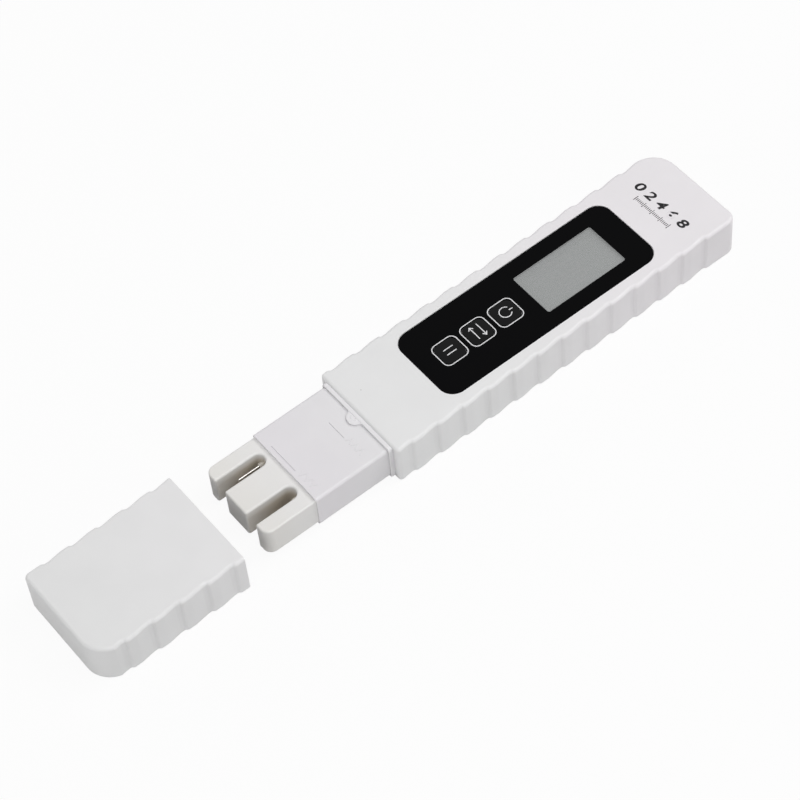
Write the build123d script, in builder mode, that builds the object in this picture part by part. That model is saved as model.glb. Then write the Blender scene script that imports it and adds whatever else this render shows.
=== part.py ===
from build123d import *
import os
from math import radians, tan

# A pen-type water quality tester that lies on its back, with its cap pulled off.
# Millimetres. X runs across the case to the right, Y along it away from the probe,
# Z up out of the display. The origin is on the back face, in the middle of the
# case's open end, so whatever lies at negative Y is probe or cap.

# Outer form shared by the case and its cap
case_width = 30.0
case_height = 12.6
case_length = 106.4
cap_length = 41.4
cap_standoff = 44.5
case_edge = 0.9
plan_blend = 1.05
large_corner = 7.0
case_small_corner = 2.8
cap_small_corner = 1.5
cap_mouth_edge = 0.25

# Finger scallops down both long sides, each with a steep and a shallow flank
scallop_pitch = 7.63
scallop_depth = 0.5
scallop_floor = 1.15
scallop_steep_angle = 45.0
scallop_steep_reach = 1.85
scallop_shallow_reach = 3.3
scallop_steep_blend = 0.6
scallop_shallow_blend = 3.0
scallop_end_margin = 6.0
case_first_right = 3.15
case_first_left = 4.25
cap_first_right = 4.4
cap_first_left = 3.9

# Walls
side_wall = 1.3
face_wall = 1.15
end_wall = 1.4
inner_corner = 1.0
cap_end_wall = 2.0

# Black film on the display side, with its window and keys
label_width = 22.5
label_length = 65.7
label_start = 18.85
label_corner = 4.0
label_thickness = 0.3
label_recess = 0.4
label_gap = 0.15
window_width = 13.7
window_length = 24.6
window_start = 52.8
window_corner = 0.6
window_drop = 0.05
window_ledge = 0.5
window_flange = 0.45
key_size = 6.4
key_corner = 1.7
key_first = 27.8
key_pitch = 8.6
key_travel = 0.3
key_gap = 0.12
key_crown = 0.25
key_dome_radius = 22.0
key_skirt = 0.4
key_stem = 3.0
key_names = ["hold", "shift", "power"]

# Neck, seal collar and probe tip
neck_width = 24.8
neck_height = 10.2
neck_length = 22.1
neck_edge = 0.8
neck_wall = 1.2
plug_length = 9.0
collar_width = 25.8
collar_height = 11.4
collar_length = 1.05
collar_edge = 0.9
collar_lip = 0.2
tab_radius = 2.3
tab_centre = 0.8
tab_foot = 0.8
tab_thickness = 0.35
pip_place = 1.3
pip_radius = 0.75
pip_line = 0.3
pip_height = 0.15
pip_arc = 280.0
level_line_width = 0.3
level_line_depth = 0.15
level_line_end = 2.6
level_high = 6.55
level_high_length = 5.7
level_low = 20.9
level_low_length = 9.3
tip_width = 24.1
tip_height = 8.8
tip_length = 14.5
tip_corner = 2.3
tip_edge = 0.5
tip_spigot = 2.5
slot_width = 3.7
slot_spread = 6.05
slot_length = 13.0
slot_mouth_corner = 0.6
pin_spread = 6.6
pin_rise = 1.0
pin_diameter = 0.8
pin_setback = 5.4
pin_tail = 1.0
ferrule_diameter = 1.3
ferrule_length = 2.1
ferrule_seat = 0.6
bead_diameter = 1.6
bead_length = 3.0
bead_setback = 3.0

# Circuit board and what it carries
board_width = 25.4
board_thickness = 1.0
board_start = 11.0
board_end_gap = 0.3
rail_depth = 0.9
rail_thickness = 1.0
glass_thickness = 1.6
glass_drop = 0.25
glass_border = 1.0
bezel_wall = 1.0
bezel_gap = 0.15
bezel_lining = 0.5
zebra_width = 2.0
switch_size = 4.6
switch_height = 1.4
switch_floor = 0.4
plunger_diameter = 2.0
chip_size = 5.0
chip_height = 1.0
chip_place = 64.0
chip_leg_count = 8
chip_leg_width = 0.25
chip_leg_reach = 0.7
chip_leg_thickness = 0.2
crystal_diameter = 2.0
crystal_length = 6.0
crystal_place = 56.0
resistor_length = 1.6
resistor_width = 0.8
resistor_height = 0.5
resistor_pitch = 3.0
resistor_count = 6
resistor_place = 19.0
lead_diameter = 0.9
fine_lead_diameter = 0.5
fine_lead_pitch = 0.9
lead_bend = 3.0
lead_rise_start = 2.0
lead_rise_length = 6.0
lead_landing = 3.0

# Battery and its sliding door
cell_diameter = 11.6
cell_height = 5.4
cell_edge = 0.6
cell_pitch = 12.5
cell_clearance = 0.15
holder_wall = 0.9
contact_thickness = 0.3
contact_width = 3.0
contact_reach = 2.0
contact_side = 9.5
door_half_margin = 1.2
door_flange = 0.8
door_flange_thickness = 0.6
door_lead_in = 1.0
door_recess = 0.1
door_corner = 1.0
grip_count = 5
grip_pitch = 1.6
grip_width = 0.8
grip_length = 8.0
grip_depth = 0.35
grip_place = 5.0

# Clearances
fit = 0.1
pin_fit = 0.03
stop_gap = 0.05

# Heights that follow from the sizes above
mid_height = case_height / 2
overcut = case_height
inner_top = case_height - face_wall
label_floor = case_height - label_recess
label_top = label_floor + label_thickness
key_underside = label_top - key_skirt
key_pocket_floor = key_underside - key_travel - stop_gap
flange_bottom = face_wall + fit
flange_top = flange_bottom + door_flange_thickness
door_contact_top = flange_top + contact_thickness
holder_bottom = door_contact_top + fit
cell_bottom = door_contact_top + stop_gap
cell_top = cell_bottom + cell_height
board_rise = cell_top + contact_thickness
board_top = board_rise + board_thickness
window_seat = label_floor - window_flange
glass_top = inner_top - glass_drop
glass_bottom = glass_top - glass_thickness
switch_top = board_top + switch_height
plunger_foot = board_top + switch_floor + key_travel + stop_gap
plunger_top = switch_top + 2 * key_travel
neck_top = mid_height + neck_height / 2
pin_height = mid_height + pin_rise

# Widths and places along the case that follow
inner_width = case_width - 2 * (scallop_depth + side_wall)
inner_end = case_length - end_wall
label_middle = label_start + label_length / 2
window_middle = window_start + window_length / 2
tip_front = neck_length + tip_length
tip_back = neck_length - tip_spigot
slot_end = tip_front - slot_length
pin_back = tip_back - pin_tail
cell_bore = cell_diameter + 2 * cell_clearance
holder_end = inner_end - fit
holder_start = holder_end - cell_pitch - cell_bore - 2 * holder_wall
far_cell = holder_end - holder_wall - cell_bore / 2
near_cell = far_cell - cell_pitch
board_end = holder_start - board_end_gap
door_half = cell_bore / 2 + door_half_margin
door_start = holder_start + door_lead_in
key_places = [(0, key_first + step * key_pitch) for step in range(len(key_names))]
sides = [(-1, "left"), (1, "right")]

os.makedirs("parts", exist_ok=True)


def save(piece, name):
    """Labels a finished piece and writes it under its own name."""
    piece.part.label = name
    export_step(piece.part, "parts/" + name + ".step")


def scallop_notch():
    """One scallop seen from above, on a side line at X = 0 with the material at negative X.

    A steep flank drops to a short flat floor, and a long shallow flank rises from it again.
    Both flanks run on past the side line, so that the notch cuts clean.
    """
    past = scallop_steep_blend + scallop_depth
    steep = tan(radians(scallop_steep_angle))
    foot = scallop_steep_reach - scallop_depth / steep
    floor_end = foot - scallop_floor
    shallow = scallop_depth / (floor_end + scallop_shallow_reach)
    with BuildSketch() as notch:
        with BuildLine():
            bed = FilletPolyline(
                (past, scallop_steep_reach + past / steep),
                (-scallop_depth, foot),
                (-scallop_depth, floor_end),
                (past, -scallop_shallow_reach - past / shallow),
                radius=[scallop_steep_blend, scallop_shallow_blend],
            )
            Line(bed @ 1, bed @ 0)
        make_face()
    return notch.sketch


def scallop_places(length, towards, first_right, first_left):
    """Where the scallops lie, as many as the length takes: the right side's, then the left's."""
    places = []
    for side, first, turn in ((1, first_right, 0), (-1, first_left, 180)):
        count = 1 + int((length - scallop_end_margin - first) / scallop_pitch)
        for step in range(count):
            along = towards * (first + step * scallop_pitch)
            places.append(Location((side * case_width / 2, along, 0), (0, 0, turn)))
    return places


def scalloped_block(length, towards, first_right, first_left, small_corner, spare=0):
    """The outer form of the case or the cap, solid, with its open end on Y = 0.

    It runs towards +Y or -Y. Turned end for end it looks the same, so the large corner is on
    the left of the one and on the right of the other. spare lengthens the open end, for a
    mouth that is cut off square afterwards. Drawing the plan in and out again rounds every
    outward corner that the scallops leave.
    """
    with BuildPart() as block:
        with BuildSketch() as plan:
            with Locations((0, towards * (length - spare) / 2)):
                Rectangle(case_width, length + spare)
            closed = plan.vertices().sort_by(lambda corner: towards * corner.Y)[-2:]
            closed = closed.sort_by(lambda corner: towards * corner.X)
            small = closed[-1]
            fillet(closed[0], large_corner)
            fillet(plan.vertices().sort_by_distance(small)[0], small_corner)
            with Locations(*scallop_places(length, towards, first_right, first_left)):
                add(scallop_notch(), mode=Mode.SUBTRACT)
            offset(amount=-plan_blend, mode=Mode.REPLACE)
            offset(amount=plan_blend, mode=Mode.REPLACE)
        extrude(amount=case_height)
        rims = block.edges().group_by(Axis.Z)
        fillet(rims[0] + rims[-1], case_edge)
    return block.part


def cavity_plan(gap, start):
    """The outline of the case's inside from above, drawn in by a gap, from start to its end."""
    with BuildSketch() as plan:
        with Locations((0, (start + inner_end - gap) / 2)):
            Rectangle(inner_width - 2 * gap, inner_end - gap - start)
        closed = plan.vertices().group_by(Axis.Y)[-1].sort_by(Axis.X)
        small = closed[-1]
        fillet(closed[0], large_corner - scallop_depth - side_wall - gap)
        fillet(plan.vertices().sort_by_distance(small)[0], inner_corner)
    return plan.sketch


def rounded_bar(width, height, start, end, edge):
    """A bar along Y at mid height with rounded long edges, from start to end."""
    with BuildPart() as bar:
        with BuildSketch(Plane.XZ.offset(-end)):
            with Locations((0, mid_height)):
                RectangleRounded(width, height, edge)
        extrude(amount=end - start)
    return bar.part


def rounded_plate(width, length, corner, middle, bottom, top):
    """A flat plate with rounded corners, centred on X = 0 and Y = middle."""
    with BuildPart() as plate:
        with BuildSketch(Plane.XY.offset(bottom)):
            with Locations((0, middle)):
                RectangleRounded(width, length, corner)
        extrude(amount=top - bottom)
    return plate.part


def rod(diameter, x, height, start, end):
    """A round bar along Y, from start to end."""
    with BuildPart() as bar:
        with BuildSketch(Plane.XZ.offset(-end)):
            with Locations((x, height)):
                Circle(diameter / 2)
        extrude(amount=end - start)
    return bar.part


def wire(diameter, x, start, height):
    """An insulated wire from a sensor's tail, up over the edge of the board and onto it."""
    level = board_top + diameter / 2
    with BuildPart() as strand:
        with BuildLine() as route:
            FilletPolyline(
                (x, start, height),
                (x, lead_rise_start, height),
                (x, lead_rise_start + lead_rise_length, level),
                (x, board_start + lead_landing, level),
                radius=lead_bend,
            )
        with BuildSketch(Plane(origin=route.line @ 0, z_dir=route.line % 0)):
            Circle(diameter / 2)
        sweep()
    return strand.part


# Case: outer form, hollow, with rails for the board and openings on both faces
case_form = scalloped_block(case_length, 1, case_first_right, case_first_left, case_small_corner)
window_hole_width = window_width + 2 * (bezel_lining + fit)
window_hole_length = window_length + 2 * (bezel_lining + fit)
with BuildPart() as body_shell:
    add(case_form)
    with BuildSketch(Plane.XY.offset(face_wall)):
        add(cavity_plan(0, -overcut))
    extrude(amount=inner_top - face_wall, mode=Mode.SUBTRACT)
    with BuildSketch(Plane.XY.offset(board_rise - rail_thickness)):
        for side, name in sides:
            with Locations((side * (inner_width - rail_depth) / 2, (board_start + board_end) / 2)):
                Rectangle(rail_depth, board_end - board_start)
    extrude(amount=rail_thickness)
    add(
        rounded_plate(
            label_width + 2 * label_gap, label_length + 2 * label_gap, label_corner + label_gap,
            label_middle, label_floor, case_height + overcut,
        ),
        mode=Mode.SUBTRACT,
    )
    add(
        rounded_plate(
            window_hole_width + 2 * (window_ledge + fit), window_hole_length + 2 * (window_ledge + fit),
            window_corner, window_middle, window_seat, label_floor,
        ),
        mode=Mode.SUBTRACT,
    )
    add(
        rounded_plate(
            window_hole_width, window_hole_length, window_corner, window_middle, mid_height, label_floor
        ),
        mode=Mode.SUBTRACT,
    )
    with BuildSketch(Plane.XY.offset(key_pocket_floor)):
        with Locations(*key_places):
            RectangleRounded(key_size + 2 * key_gap, key_size + 2 * key_gap, key_corner + key_gap)
    extrude(amount=overcut, mode=Mode.SUBTRACT)
    with BuildSketch(Plane.XY.offset(mid_height)):
        with Locations(*key_places):
            Circle(key_stem / 2 + key_gap)
    extrude(amount=overcut, mode=Mode.SUBTRACT)
    with BuildSketch(Plane.XY.offset(-overcut)) as door_hole:
        with Locations((0, door_start + case_length / 2)):
            Rectangle(2 * door_half, case_length)
        fillet(door_hole.vertices().group_by(Axis.Y)[0], door_corner)
    extrude(amount=overcut + flange_bottom, mode=Mode.SUBTRACT)
    with BuildSketch(Plane.XY.offset(face_wall)):
        with Locations((0, inner_end + case_length / 2)):
            Rectangle(2 * (door_half + door_flange + fit), case_length)
    extrude(amount=holder_bottom - face_wall, mode=Mode.SUBTRACT)
save(body_shell, "body_shell")

# Neck: a sleeve that plugs into the case and takes the tip, with two level lines on its face
with BuildPart() as probe_housing:
    add(rounded_bar(neck_width, neck_height, -neck_length, 0, neck_edge))
    add(rounded_bar(inner_width - 2 * fit, inner_top - face_wall - 2 * fit, 0, plug_length, neck_edge))
    add(
        rounded_bar(
            neck_width - 2 * neck_wall, neck_height - 2 * neck_wall, -neck_length, plug_length, neck_edge
        ),
        mode=Mode.SUBTRACT,
    )
    with BuildSketch(Plane.XY.offset(neck_top - level_line_depth)):
        for depth, length in ((level_high, level_high_length), (level_low, level_low_length)):
            with Locations((level_line_end - length / 2, -depth)):
                Rectangle(length, level_line_width)
    extrude(amount=overcut, mode=Mode.SUBTRACT)
save(probe_housing, "probe_housing")

# Seal collar: a ring round the neck, a half-moon tab on its face and an open pip on the tab
with BuildPart() as seal_collar:
    add(rounded_bar(collar_width, collar_height, -collar_length, 0, collar_edge))
    fillet(seal_collar.edges().group_by(Axis.Y)[0], collar_lip)
    add(
        rounded_bar(neck_width + 2 * fit, neck_height + 2 * fit, -overcut, overcut, neck_edge),
        mode=Mode.SUBTRACT,
    )
    with BuildSketch(Plane.XY.offset(neck_top + fit)) as tab:
        with Locations((0, -collar_length / 2)):
            Rectangle(neck_width / 2, collar_length)
        with Locations((0, -tab_centre)):
            Circle(tab_radius)
        feet = tab.vertices().filter_by(lambda corner: abs(corner.Y + collar_length) < stop_gap)
        fillet(feet.sort_by(lambda corner: abs(corner.X))[:2], tab_foot)
        with Locations((0, overcut / 2)):
            Rectangle(neck_width, overcut, mode=Mode.SUBTRACT)
    extrude(amount=tab_thickness)
    with BuildSketch(Plane.XY.offset(neck_top + fit + tab_thickness)):
        with BuildLine():
            ring = CenterArc((0, -pip_place), pip_radius, 90 - pip_arc / 2, pip_arc)
            offset(ring, amount=pip_line / 2, side=Side.BOTH)
        make_face()
    extrude(amount=pip_height)
save(seal_collar, "seal_collar")

# Probe tip: a guard with two open slots, bored for the pins and the temperature sensor
bead_front = tip_front - bead_setback
bead_bore = bead_diameter + 2 * pin_fit
with BuildPart() as probe_tip:
    with BuildSketch(Plane.XY.offset(mid_height - tip_height / 2)) as guard:
        with Locations((0, -(tip_front + neck_length) / 2)):
            Rectangle(tip_width, tip_length)
        fillet(guard.vertices().group_by(Axis.Y)[0], tip_corner)
    extrude(amount=tip_height)
    soft = probe_tip.edges().filter_by(Plane.XY)
    fillet(soft.filter_by(lambda edge: edge.center().Y < -neck_length - tip_edge), tip_edge)
    add(
        rounded_bar(
            neck_width - 2 * neck_wall - 2 * fit, neck_height - 2 * neck_wall - 2 * fit,
            -neck_length, -tip_back, neck_edge,
        )
    )
    with BuildSketch(Plane.XY.offset(-overcut)) as slots:
        for side, name in sides:
            with Locations((side * slot_spread, -slot_end - slot_width / 2 - slot_length)):
                Rectangle(slot_width, 2 * slot_length)
            with Locations((side * slot_spread, -slot_end - slot_width / 2)):
                Circle(slot_width / 2)
    extrude(amount=3 * overcut, mode=Mode.SUBTRACT)
    mouths = probe_tip.edges().filter_by(Axis.Z).group_by(Axis.Y)[0]
    fillet(mouths, slot_mouth_corner)
    for side, name in sides:
        bore = pin_diameter + 2 * pin_fit
        add(rod(bore, side * pin_spread, pin_height, -slot_end - slot_width, 0), mode=Mode.SUBTRACT)
        seat = ferrule_diameter + 2 * pin_fit
        add(
            rod(seat, side * pin_spread, pin_height, -slot_end - slot_width, ferrule_seat - slot_end),
            mode=Mode.SUBTRACT,
        )
    add(rod(bead_bore, 0, mid_height, -bead_front, 0), mode=Mode.SUBTRACT)
save(probe_tip, "probe_tip")

# Electrode pins, the sleeves at their feet, and their wires to the board
for side, name in sides:
    with BuildPart() as electrode_pin:
        add(rod(pin_diameter, side * pin_spread, pin_height, pin_setback - tip_front, -pin_back))
        fillet(electrode_pin.edges().group_by(Axis.Y)[0], pin_diameter / 4)
    save(electrode_pin, "electrode_pin_" + name)
    with BuildPart() as electrode_ferrule:
        ferrule_end = ferrule_seat - slot_end
        add(rod(ferrule_diameter, side * pin_spread, pin_height, ferrule_end - ferrule_length, ferrule_end))
        bore = pin_diameter + 2 * pin_fit
        add(rod(bore, side * pin_spread, pin_height, -tip_front, 0), mode=Mode.SUBTRACT)
        chamfer(electrode_ferrule.edges().group_by(Axis.Y)[0].sort_by(SortBy.LENGTH)[-1], pin_fit * 4)
    save(electrode_ferrule, "electrode_ferrule_" + name)
    with BuildPart() as electrode_lead:
        add(wire(lead_diameter, side * pin_spread, -pin_back, pin_height))
    save(electrode_lead, "electrode_lead_" + name)

# Temperature sensor in the land between the slots, with its two fine wires
with BuildPart() as thermistor_bead:
    add(rod(bead_diameter, 0, mid_height, -bead_front + pin_fit, -bead_front + pin_fit + bead_length))
    fillet(thermistor_bead.edges(), bead_diameter / 4)
save(thermistor_bead, "thermistor_bead")

with BuildPart() as thermistor_leads:
    for side, name in sides:
        place = side * fine_lead_pitch / 2
        add(wire(fine_lead_diameter, place, -bead_front + pin_fit + bead_length, mid_height))
save(thermistor_leads, "thermistor_leads")

# Cap: the same outer form, hollow to take neck and tip, its mouth relieved for the collar
mouth = -cap_standoff
relief_top = neck_top + tab_thickness + pip_height + 2 * fit
cap_form = scalloped_block(
    cap_length, -1, cap_first_right, cap_first_left, cap_small_corner, 2 * large_corner
)
with BuildPart() as cap:
    with Locations((0, mouth, 0)):
        add(cap_form)
    split(bisect_by=Plane.XZ.offset(-mouth), keep=Keep.TOP)
    fillet(cap.faces().sort_by(Axis.Y)[-1].outer_wire().edges(), cap_mouth_edge)
    add(
        rounded_bar(
            neck_width + 2 * fit, neck_height + 2 * fit,
            mouth - cap_length + cap_end_wall, mouth + overcut, neck_edge,
        ),
        mode=Mode.SUBTRACT,
    )
    add(
        rounded_bar(
            collar_width + 2 * fit, collar_height + 2 * fit,
            mouth - collar_length - fit, mouth + overcut, collar_edge,
        ),
        mode=Mode.SUBTRACT,
    )
    add(
        rounded_plate(
            2 * (tab_radius + tab_foot + fit), 2 * (tab_centre + tab_radius + 2 * fit), tab_foot,
            mouth, mid_height, relief_top,
        ),
        mode=Mode.SUBTRACT,
    )
save(cap, "cap")

# Black film: a rounded sheet in the recess, cut out for the window and the keys
with BuildPart() as display_label:
    with BuildSketch(Plane.XY.offset(label_floor)):
        with Locations((0, label_middle)):
            RectangleRounded(label_width, label_length, label_corner)
        with Locations((0, window_middle)):
            RectangleRounded(window_width, window_length, window_corner, mode=Mode.SUBTRACT)
        with Locations(*key_places):
            corner = key_corner + key_gap
            RectangleRounded(key_size + 2 * key_gap, key_size + 2 * key_gap, corner, mode=Mode.SUBTRACT)
    extrude(amount=label_thickness)
save(display_label, "display_label")

# Clear pane: its flange is held between the case and the film
with BuildPart() as display_window:
    add(
        rounded_plate(
            window_hole_width + 2 * window_ledge, window_hole_length + 2 * window_ledge,
            window_corner, window_middle, window_seat, label_floor,
        )
    )
    add(
        rounded_plate(
            window_width - 2 * fit, window_length - 2 * fit, window_corner - fit,
            window_middle, label_floor, label_top - window_drop,
        )
    )
save(display_window, "display_window")

# Keys: a domed cap with a stem that stands on the plunger of its switch
for place, name in zip(key_places, key_names):
    with BuildPart() as key:
        with BuildSketch(Plane.XY.offset(key_underside)):
            with Locations(place):
                RectangleRounded(key_size, key_size, key_corner)
        extrude(amount=key_skirt + key_crown)
        with Locations((0, place[1], label_top + key_crown - key_dome_radius)):
            Sphere(key_dome_radius, mode=Mode.INTERSECT)
        with BuildSketch(Plane.XY.offset(plunger_top)):
            with Locations(place):
                Circle(key_stem / 2)
        extrude(amount=key_underside - plunger_top)
    save(key, name + "_key")
    with BuildPart() as key_switch:
        with BuildSketch(Plane.XY.offset(board_top)):
            with Locations(place):
                Rectangle(switch_size, switch_size)
        extrude(amount=switch_height)
        chamfer(key_switch.edges().filter_by(Axis.Z), fit * 3)
        with BuildSketch(Plane.XY.offset(board_top + switch_floor)):
            with Locations(place):
                Circle(plunger_diameter / 2 + pin_fit)
        extrude(amount=switch_height, mode=Mode.SUBTRACT)
    save(key_switch, name + "_switch")
    with BuildPart() as key_plunger:
        with BuildSketch(Plane.XY.offset(plunger_foot)):
            with Locations(place):
                Circle(plunger_diameter / 2)
        extrude(amount=plunger_top - plunger_foot)
    save(key_plunger, name + "_plunger")

# Display glass, the frame that centres it and lines the window, and its rubber connector
glass_width = window_width + 2 * glass_border
glass_length = window_length + 2 * glass_border
with BuildPart() as lcd_glass:
    add(rounded_plate(glass_width, glass_length, fit, window_middle, glass_bottom, glass_top))
save(lcd_glass, "lcd_glass")

well_width = glass_width + 2 * bezel_gap
well_length = glass_length + 2 * bezel_gap
with BuildPart() as lcd_frame:
    add(
        rounded_plate(
            well_width + 2 * bezel_wall, well_length + 2 * bezel_wall, bezel_wall,
            window_middle, board_top, inner_top,
        )
    )
    add(
        rounded_plate(
            window_width + 2 * bezel_lining, window_length + 2 * bezel_lining, window_corner,
            window_middle, inner_top, window_seat,
        )
    )
    with BuildSketch(Plane.XY.offset(board_top)):
        with Locations((0, window_middle)):
            Rectangle(well_width, well_length)
    extrude(amount=glass_top - board_top, mode=Mode.SUBTRACT)
    with BuildSketch(Plane.XY.offset(board_top)):
        with Locations((0, window_middle)):
            RectangleRounded(window_width, window_length, window_corner)
    extrude(amount=overcut, mode=Mode.SUBTRACT)
save(lcd_frame, "lcd_frame")

with BuildPart() as zebra_strip:
    with BuildSketch(Plane.XY.offset(board_top)):
        with Locations((0, window_middle - (glass_length - zebra_width) / 2)):
            Rectangle(glass_width, zebra_width)
    extrude(amount=glass_bottom - board_top)
save(zebra_strip, "zebra_strip")

# Circuit board on its rails, and what is soldered to it
with BuildPart() as circuit_board:
    with BuildSketch(Plane.XY.offset(board_rise)):
        with Locations((0, (board_start + board_end) / 2)):
            Rectangle(board_width, board_end - board_start)
    extrude(amount=board_thickness)
save(circuit_board, "circuit_board")

with BuildPart() as meter_chip:
    with BuildSketch(Plane.XY.offset(board_rise - chip_height)):
        with Locations((0, chip_place)):
            Rectangle(chip_size, chip_size)
    extrude(amount=chip_height - chip_leg_thickness)
    with BuildSketch(Plane.XY.offset(board_rise - 2 * chip_leg_thickness)):
        with Locations((0, chip_place)):
            with GridLocations(0, chip_size / chip_leg_count, 1, chip_leg_count):
                Rectangle(chip_size + 2 * chip_leg_reach, chip_leg_width)
    extrude(amount=2 * chip_leg_thickness)
save(meter_chip, "meter_chip")

with BuildPart() as crystal:
    with BuildSketch(Plane.YZ.offset(-crystal_length / 2)):
        with Locations((crystal_place, board_rise - crystal_diameter / 2)):
            Circle(crystal_diameter / 2)
    extrude(amount=crystal_length)
save(crystal, "crystal")

with BuildPart() as chip_resistors:
    with BuildSketch(Plane.XY.offset(board_top)):
        with Locations((0, resistor_place)):
            with GridLocations(resistor_pitch, 0, resistor_count, 1):
                Rectangle(resistor_width, resistor_length)
    extrude(amount=resistor_height)
save(chip_resistors, "chip_resistors")

# Battery: two cells in a holder that fills the end of the case, and three contact strips
cell_places = [(0, near_cell), (0, far_cell)]
with BuildPart() as battery_holder:
    with BuildSketch(Plane.XY.offset(holder_bottom)):
        add(cavity_plan(fit, holder_start))
        with Locations(*cell_places):
            Circle(cell_bore / 2, mode=Mode.SUBTRACT)
    extrude(amount=cell_top - holder_bottom)
save(battery_holder, "battery_holder")

with BuildPart() as button_cells:
    with BuildSketch(Plane.XY.offset(cell_bottom)):
        with Locations(*cell_places):
            Circle(cell_diameter / 2)
    extrude(amount=cell_height)
    fillet(button_cells.edges(), cell_edge)
save(button_cells, "button_cells")

with BuildPart() as battery_contact_plus:
    with BuildSketch(Plane.XY.offset(cell_top)):
        with Locations((0, (board_end - contact_reach + near_cell + contact_width / 2) / 2)):
            Rectangle(contact_width, near_cell + contact_width / 2 - board_end + contact_reach)
    extrude(amount=contact_thickness)
save(battery_contact_plus, "battery_contact_plus")

with BuildPart() as battery_contact_minus:
    with BuildSketch(Plane.XY.offset(cell_top)):
        with Locations((contact_side, (board_end - contact_reach + far_cell + contact_width / 2) / 2)):
            Rectangle(contact_width, far_cell + contact_width / 2 - board_end + contact_reach)
        with Locations((contact_side / 2, far_cell)):
            Rectangle(contact_side + contact_width, contact_width)
    extrude(amount=contact_thickness)
save(battery_contact_minus, "battery_contact_minus")

# Battery door: a plate in the back, held by a wider flange inside the case, with finger grooves
with BuildPart() as battery_door:
    with BuildSketch(Plane.XY) as plate:
        with Locations((0, door_start + fit + case_length / 2)):
            Rectangle(2 * (door_half - fit), case_length)
        fillet(plate.vertices().group_by(Axis.Y)[0], door_corner)
    extrude(amount=flange_bottom)
    with BuildSketch(Plane.XY.offset(flange_bottom)) as flange:
        with Locations((0, door_start - door_flange + case_length / 2)):
            Rectangle(2 * (door_half + door_flange), case_length)
        fillet(flange.vertices().group_by(Axis.Y)[0], door_corner)
    extrude(amount=door_flange_thickness)
    with BuildSketch(Plane.XY.offset(flange_top)):
        with Locations((0, inner_end + fit + case_length / 2)):
            Rectangle(2 * (door_half + door_flange), case_length)
    extrude(amount=door_contact_top - flange_top)
    add(case_form, mode=Mode.INTERSECT)
    with BuildSketch(Plane.XY):
        with Locations((0, case_length / 2)):
            Rectangle(2 * case_width, 2 * case_length)
    extrude(amount=door_recess, mode=Mode.SUBTRACT)
    with BuildSketch(Plane.XY):
        with Locations((0, door_start + grip_place + (grip_count - 1) * grip_pitch / 2)):
            with GridLocations(0, grip_pitch, 1, grip_count):
                SlotOverall(grip_length, grip_width)
    extrude(amount=door_recess + grip_depth, mode=Mode.SUBTRACT)
save(battery_door, "battery_door")

with BuildPart() as door_contact:
    with BuildSketch(Plane.XY.offset(flange_top)):
        with Locations((0, (near_cell + far_cell) / 2)):
            SlotOverall(cell_pitch + cell_diameter / 2, contact_width, rotation=90)
    extrude(amount=contact_thickness)
save(door_contact, "door_contact")
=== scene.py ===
"""Looks of a pen-type water quality tester that lies on its back with its cap pulled off.

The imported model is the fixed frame: X runs across the case, Y along it away from the probe and
Z out of the display. Every size here is in metres unless its name ends in _mm.
"""

import logging
import math
from dataclasses import dataclass, field
from enum import Enum
from typing import Callable, Optional, Sequence

import bmesh
import bpy
from mathutils import Matrix, Vector


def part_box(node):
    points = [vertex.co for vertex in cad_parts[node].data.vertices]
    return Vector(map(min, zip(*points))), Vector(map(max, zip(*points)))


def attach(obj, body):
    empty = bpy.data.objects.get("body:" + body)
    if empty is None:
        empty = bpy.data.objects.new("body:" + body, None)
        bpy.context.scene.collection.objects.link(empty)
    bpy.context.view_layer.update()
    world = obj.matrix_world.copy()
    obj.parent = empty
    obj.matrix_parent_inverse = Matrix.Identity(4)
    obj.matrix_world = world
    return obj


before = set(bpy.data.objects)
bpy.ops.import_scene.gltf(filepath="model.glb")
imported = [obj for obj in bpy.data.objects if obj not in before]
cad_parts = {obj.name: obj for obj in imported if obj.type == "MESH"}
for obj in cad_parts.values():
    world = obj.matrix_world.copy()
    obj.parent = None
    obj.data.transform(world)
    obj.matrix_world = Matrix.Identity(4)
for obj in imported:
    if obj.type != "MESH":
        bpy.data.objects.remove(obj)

MM = 0.001
LOG = logging.getLogger("tester")

Colour = tuple[float, float, float]
Point = tuple[float, float]
Range = tuple[float, float]
Height = Callable[[float, float], float]
Stroke = tuple[Sequence[Point], bool]

NO_LENGTH = 1e-9
LEAST_MITRE = 0.5


class Body(Enum):
    """The rigid bodies that the scene's own pieces ride on."""

    METER = "meter"
    HOLD = "hold_button"
    SHIFT = "shift_button"
    POWER = "power_button"


class Icon(Enum):
    """The sign on a key."""

    PAUSE = "pause"
    ARROWS = "arrows"
    POWER = "power"


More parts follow.
